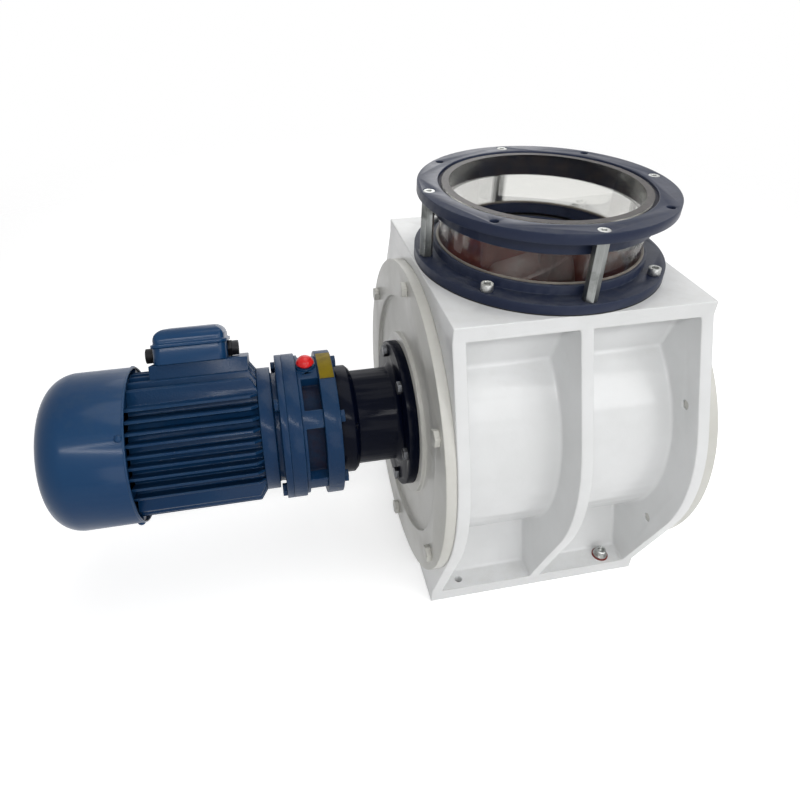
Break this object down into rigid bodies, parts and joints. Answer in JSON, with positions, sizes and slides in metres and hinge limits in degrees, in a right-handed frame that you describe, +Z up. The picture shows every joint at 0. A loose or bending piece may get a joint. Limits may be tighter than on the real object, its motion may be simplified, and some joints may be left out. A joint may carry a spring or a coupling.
{
  "type": "rotary airlock valve",
  "caption": "Rotary airlock valve with a ribbed square-flanged body, vaned rotor, round sight glass on top and a side-mounted cycloid gearmotor.",
  "frame": {"origin": "centre of the outlet flange's bottom face", "axes": "+Z up through the inlet, X along the rotor axis with the gearmotor toward -X"},
  "size_m": [0.765, 0.3958, 0.502],
  "materials": {
    "white_paint": "semi-gloss enamel on cast iron",
    "machined_steel": "turned",
    "bearing_steel": "ground",
    "black_rubber": "moulded",
    "zinc_steel": "zinc plated",
    "dark_steel": "blackened",
    "navy_paint": "satin enamel on steel",
    "clear_glass": "polished borosilicate",
    "black_paint": "gloss enamel on cast iron",
    "grey_iron": "machined",
    "polyurethane": "moulded",
    "blue_paint": "enamel on cast iron",
    "blue_sheet": "enamel on pressed steel",
    "red_plastic": "moulded",
    "yellow_plate": "bare plate",
    "copper_winding": "varnished winding on laminated core",
    "black_plastic": "moulded"
  },
  "bodies": {
    "housing": {"valve_body": "white_paint", "drive_end_cover": "white_paint", "far_end_cover": "white_paint", "drive_cover_bolts": "white_paint", "far_cover_bolts": "white_paint", "drive_bearing_outer": "bearing_steel", "far_bearing_outer": "bearing_steel", "drive_shaft_seal": "black_rubber", "far_shaft_seal": "black_rubber", "far_bearing_cap": "white_paint", "bearing_cap_screws": "zinc_steel", "inlet_gasket": "black_rubber", "lower_ring": "navy_paint", "lower_ring_screws": "zinc_steel", "glass_seat_gasket": "black_rubber", "sight_glass": "clear_glass", "glass_packing": "black_rubber", "upper_ring": "navy_paint", "standoffs": "zinc_steel", "standoff_screws": "zinc_steel", "coupling_adapter": "black_paint", "adapter_bolts": "zinc_steel", "adapter_screws": "zinc_steel", "output_seal": "black_rubber", "output_bearing": "bearing_steel", "gearbox_front": "blue_paint", "ring_case": "blue_paint", "ring_pins": "bearing_steel", "gearbox_rear": "blue_paint", "input_seal": "black_rubber", "gearbox_bolts": "dark_steel", "vent_plug": "red_plastic", "tag_plate": "yellow_plate", "drive_shield": "blue_paint", "shield_bolts": "dark_steel", "motor_frame": "blue_paint", "stator": "copper_winding", "motor_bearings": "bearing_steel", "fan_shield": "blue_paint", "fan_cowl": "blue_sheet", "cowl_screws": "zinc_steel", "terminal_box": "blue_sheet", "terminal_lid": "blue_sheet", "cable_glands": "black_plastic"},
    "rotor": {"rotor_vanes": "machined_steel", "rotor_shaft": "machined_steel", "shaft_keys": "dark_steel", "drive_bearing_inner": "bearing_steel", "far_bearing_inner": "bearing_steel", "driven_hub": "grey_iron", "coupling_spider": "polyurethane", "driving_hub": "grey_iron", "output_shaft": "machined_steel", "output_rollers": "bearing_steel"},
    "motor_rotor": {"motor_shaft": "machined_steel", "eccentric_sleeve": "machined_steel", "eccentric_rollers": "bearing_steel", "cooling_fan": "black_plastic"},
    "disc_a": {"cycloid_disc_a": "machined_steel"},
    "disc_b": {"cycloid_disc_b": "machined_steel"}
  },
  "joints": [
    {"name": "rotor_spin", "type": "hinge", "parent": "housing", "child": "rotor", "pos_m": [0, 0, 0.208], "axis": [1, 0, 0], "continuous": true},
    {"name": "motor_spin", "type": "hinge", "parent": "housing", "child": "motor_rotor", "pos_m": [-0.381, 0, 0.208], "axis": [1, 0, 0], "continuous": true},
    {"name": "disc_a_spin", "type": "hinge", "parent": "motor_rotor", "child": "disc_a", "pos_m": [-0.26725, -0.0012, 0.208], "axis": [1, 0, 0], "continuous": true},
    {"name": "disc_b_spin", "type": "hinge", "parent": "motor_rotor", "child": "disc_b", "pos_m": [-0.27575, 0.0012, 0.208], "axis": [1, 0, 0], "continuous": true}
  ],
  "couplings": [
    {"joint": "motor_spin", "follows": "rotor_spin", "ratio": -29},
    {"joint": "disc_a_spin", "follows": "rotor_spin", "ratio": 30},
    {"joint": "disc_b_spin", "follows": "rotor_spin", "ratio": 30}
  ]
}
